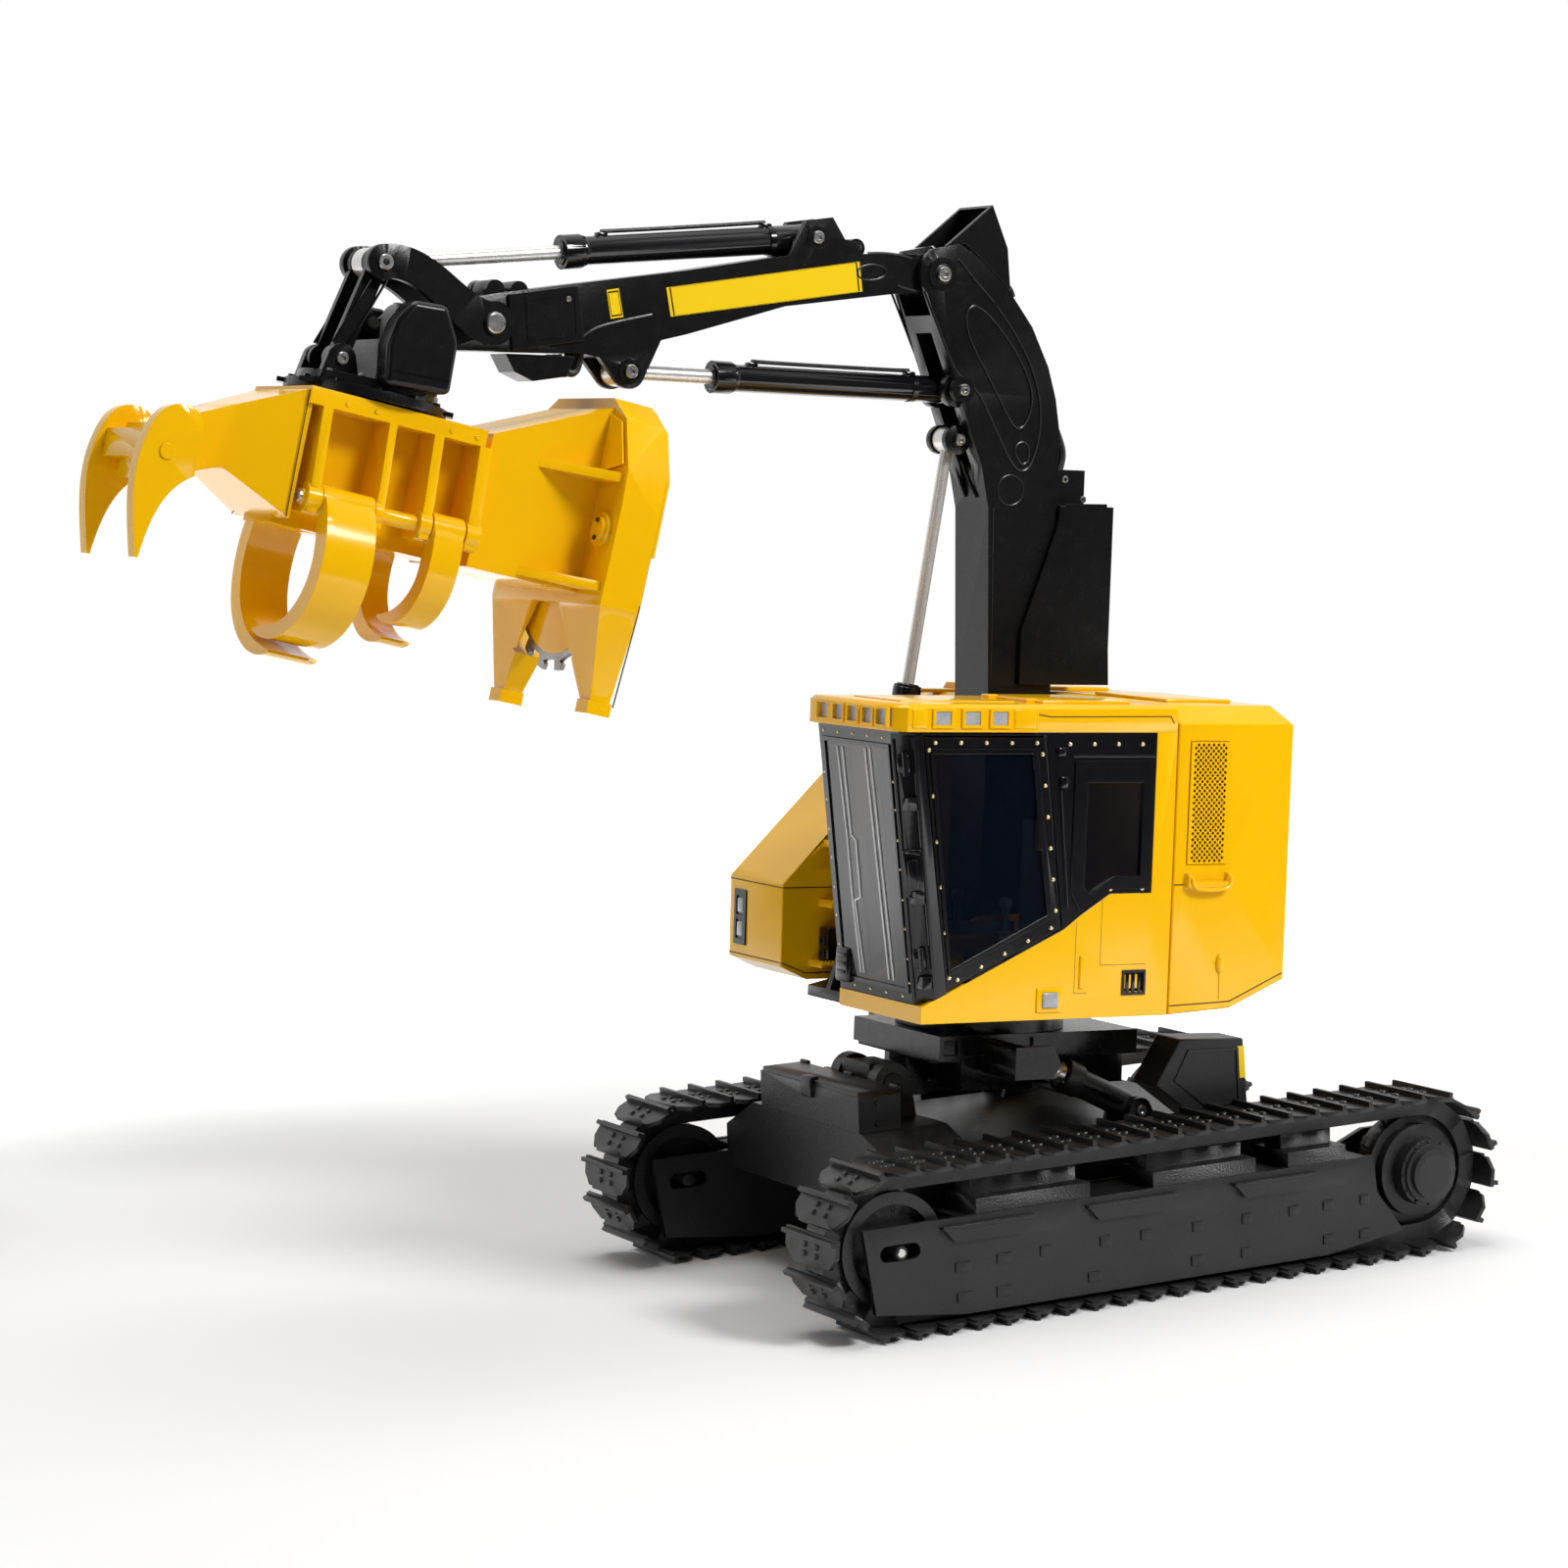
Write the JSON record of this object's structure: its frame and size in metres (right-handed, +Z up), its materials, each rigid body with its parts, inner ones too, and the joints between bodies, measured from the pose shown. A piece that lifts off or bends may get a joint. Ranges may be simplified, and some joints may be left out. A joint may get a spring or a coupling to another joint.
{
  "type": "scale model of a levelling tracked feller buncher",
  "caption": "Die-cast scale model of a tracked feller buncher: levelling undercarriage, slewing cab and engine house, jointed boom and stick, disc saw head with grab arms.",
  "frame": {"origin": "on the ground under the middle of the whole part", "axes": "+X to the front along the tracks, +Y to the machine's left, +Z up"},
  "size_m": [0.2769, 0.1052, 0.2175],
  "materials": {
    "yellow_paint": "gloss yellow enamel",
    "black_paint": "satin black enamel",
    "track_black": "satin black, slightly rough",
    "plated_steel": "bright plated rod",
    "saw_steel": "bare steel",
    "glass": "clear glazing, lightly smoked",
    "lamp_lens": "clear lamp lens",
    "seat_plastic": "matt dark plastic"
  },
  "bodies": {
    "undercarriage": {"carbody": "black_paint", "track_frame_left": "black_paint", "track_frame_right": "black_paint", "track_left": "track_black", "track_right": "track_black", "idlers": "black_paint", "sprockets": "black_paint", "storage_box": "black_paint", "rear_boxes": "black_paint"},
    "levelling_cross": {"levelling_cross": "black_paint"},
    "tilting_frame": {"tilt_frame": "black_paint", "slew_ring": "black_paint"},
    "upper": {"upper_deck": "black_paint", "cab_base": "yellow_paint", "cab_frame": "black_paint", "cab_roof": "yellow_paint", "roof_lamps": "lamp_lens", "windshield": "glass", "side_windows": "glass", "cab_seat": "seat_plastic", "engine_module": "yellow_paint", "right_enclosure": "yellow_paint"},
    "door": {"cab_door": "black_paint", "door_glass": "glass"},
    "boom": {"boom": "black_paint", "boom_cowl": "black_paint", "boom_hose_guard": "black_paint"},
    "lift_barrel": {"lift_barrel": "black_paint"},
    "lift_rod": {"lift_rod": "plated_steel"},
    "stick": {"stick": "black_paint", "stick_guard": "black_paint"},
    "stick_barrel": {"stick_barrel": "black_paint"},
    "stick_rod": {"stick_rod": "plated_steel"},
    "wrist_barrel": {"wrist_barrel": "black_paint"},
    "wrist_rod": {"wrist_rod": "plated_steel"},
    "wrist_arms": {"wrist_arms": "black_paint"},
    "wrist_links": {"wrist_links": "black_paint"},
    "wrist": {"wrist": "black_paint", "wrist_covers": "black_paint"},
    "head": {"head_frame": "yellow_paint", "saw_housing": "yellow_paint", "saw_bottom_cover": "yellow_paint"},
    "saw_disc": {"saw_disc": "saw_steel"},
    "grab_arm_left": {"grab_arm_left": "yellow_paint"},
    "grab_arm_right": {"grab_arm_right": "yellow_paint"},
    "holding_arm_left": {"holding_arm_left": "yellow_paint"},
    "holding_arm_right": {"holding_arm_right": "yellow_paint"},
    "levelling_barrel_left": {"levelling_barrel_left": "black_paint"},
    "levelling_rod_left": {"levelling_rod_left": "plated_steel"},
    "levelling_barrel_right": {"levelling_barrel_right": "black_paint"},
    "levelling_rod_right": {"levelling_rod_right": "plated_steel"}
  },
  "joints": [
    {"name": "levelling", "type": "hinge", "parent": "undercarriage", "child": "levelling_cross", "pos_m": [-0.0185, 0, 0.0413], "axis": [0, 1, 0], "range_deg": [0, 26]},
    {"name": "side_tilt", "type": "hinge", "parent": "levelling_cross", "child": "tilting_frame", "pos_m": [-0.0185, 0, 0.0413], "axis": [0.9975, 0, 0.0706], "range_deg": [-12, 12]},
    {"name": "slew", "type": "hinge", "parent": "tilting_frame", "child": "upper", "pos_m": [-0.0452, 0, 0.05314], "axis": [-0.0706, 0, 0.9975], "continuous": true},
    {"name": "boom_lift", "type": "hinge", "parent": "upper", "child": "boom", "pos_m": [-0.05111, -0.004, 0.06576], "axis": [0, 1, 0], "range_deg": [0, 60]},
    {"name": "stick_lift", "type": "hinge", "parent": "boom", "child": "stick", "pos_m": [-0.03872, -0.004, 0.20368], "axis": [0, -1, 0], "range_deg": [-20, 45]},
    {"name": "wrist_tilt", "type": "hinge", "parent": "stick", "child": "wrist", "pos_m": [0.07747, -0.004, 0.19657], "axis": [0, -1, 0], "range_deg": [0, 75]},
    {"name": "head_turn", "type": "hinge", "parent": "wrist", "child": "head", "pos_m": [0.0863, -0.004, 0.18095], "axis": [-0.2597, 0, 0.9657], "range_deg": [-150, 150]},
    {"name": "saw_spin", "type": "hinge", "parent": "head", "child": "saw_disc", "pos_m": [0.04324, -0.004, 0.1497], "axis": [0.9657, 0, 0.2597], "continuous": true},
    {"name": "cab_door_hinge", "type": "hinge", "parent": "upper", "child": "door", "pos_m": [-0.00855, 0.0462, 0.06566], "axis": [-0.0734, 0, -0.9973], "range_deg": [0, 100]},
    {"name": "grab_right", "type": "hinge", "parent": "head", "child": "grab_arm_right", "pos_m": [0.09703, -0.0175, 0.16261], "axis": [-0.9657, 0, -0.2597], "range_deg": [0, 75]},
    {"name": "grab_left", "type": "hinge", "parent": "head", "child": "grab_arm_left", "pos_m": [0.09703, 0.0095, 0.16261], "axis": [0.9657, 0, 0.2597], "range_deg": [0, 75]},
    {"name": "holding_right", "type": "hinge", "parent": "head", "child": "holding_arm_right", "pos_m": [0.07694, -0.0175, 0.15721], "axis": [-0.9657, 0, -0.2597], "range_deg": [0, 70]},
    {"name": "holding_left", "type": "hinge", "parent": "head", "child": "holding_arm_left", "pos_m": [0.07694, 0.0095, 0.15721], "axis": [0.9657, 0, 0.2597], "range_deg": [0, 70]},
    {"name": "levelling_barrel_left_swing", "type": "hinge", "parent": "undercarriage", "child": "levelling_barrel_left", "pos_m": [-0.0663, 0.023, 0.033], "axis": [0, -1, 0], "range_deg": [-1, 12]},
    {"name": "levelling_rod_left_slide", "type": "slide", "parent": "levelling_barrel_left", "child": "levelling_rod_left", "axis": [0.8809, 0, 0.4732], "range_m": [0, 0.0095]},
    {"name": "levelling_barrel_right_swing", "type": "hinge", "parent": "undercarriage", "child": "levelling_barrel_right", "pos_m": [-0.0663, -0.023, 0.033], "axis": [0, -1, 0], "range_deg": [-1, 12]},
    {"name": "levelling_rod_right_slide", "type": "slide", "parent": "levelling_barrel_right", "child": "levelling_rod_right", "axis": [0.8809, 0, 0.4732], "range_m": [0, 0.0095]},
    {"name": "lift_barrel_swing", "type": "hinge", "parent": "upper", "child": "lift_barrel", "pos_m": [-0.02083, -0.004, 0.06991], "axis": [0, 1, 0], "range_deg": [0, 69]},
    {"name": "lift_rod_slide", "type": "slide", "parent": "lift_barrel", "child": "lift_rod", "axis": [-0.2174, 0, 0.9761], "range_m": [-0.0278, 0]},
    {"name": "stick_barrel_swing", "type": "hinge", "parent": "boom", "child": "stick_barrel", "pos_m": [-0.04288, -0.004, 0.18033], "axis": [0, -1, 0], "range_deg": [-18, 40]},
    {"name": "stick_rod_slide", "type": "slide", "parent": "stick_barrel", "child": "stick_rod", "axis": [0.9972, 0, 0.0746], "range_m": [-0.0075, 0.0167]},
    {"name": "wrist_arms_swing", "type": "hinge", "parent": "stick", "child": "wrist_arms", "pos_m": [0.06169, -0.004, 0.19575], "axis": [0, -1, 0], "range_deg": [0, 42]},
    {"name": "wrist_links_swing", "type": "hinge", "parent": "wrist_arms", "child": "wrist_links", "pos_m": [0.08381, -0.004, 0.20754], "axis": [0, -1, 0], "range_deg": [-4, 1]},
    {"name": "wrist_barrel_swing", "type": "hinge", "parent": "stick", "child": "wrist_barrel", "pos_m": [-0.01069, -0.004, 0.21138], "axis": [0, -1, 0], "range_deg": [0, 8]},
    {"name": "wrist_rod_slide", "type": "slide", "parent": "wrist_barrel", "child": "wrist_rod", "axis": [0.9992, 0, -0.0405], "range_m": [-0.0134, 0]}
  ],
  "couplings": [
    {"joint": "levelling_barrel_left_swing", "follows": "levelling", "ratio": 0.43},
    {"joint": "levelling_rod_left_slide", "follows": "levelling", "m_per_rad": 0.0206},
    {"joint": "levelling_barrel_right_swing", "follows": "levelling", "ratio": 0.43},
    {"joint": "levelling_rod_right_slide", "follows": "levelling", "m_per_rad": 0.0206},
    {"joint": "lift_barrel_swing", "follows": "boom_lift", "ratio": 1.14},
    {"joint": "lift_rod_slide", "follows": "boom_lift", "m_per_rad": -0.0262},
    {"joint": "stick_barrel_swing", "follows": "stick_lift", "ratio": 0.88},
    {"joint": "stick_rod_slide", "follows": "stick_lift", "m_per_rad": 0.021},
    {"joint": "wrist_arms_swing", "follows": "wrist_tilt", "ratio": 0.556},
    {"joint": "wrist_links_swing", "follows": "wrist_tilt", "ratio": -0.04},
    {"joint": "wrist_barrel_swing", "follows": "wrist_tilt", "ratio": 0.1052},
    {"joint": "wrist_rod_slide", "follows": "wrist_tilt", "m_per_rad": -0.01005},
    {"joint": "grab_left", "follows": "grab_right", "ratio": 1},
    {"joint": "holding_left", "follows": "holding_right", "ratio": 1}
  ]
}
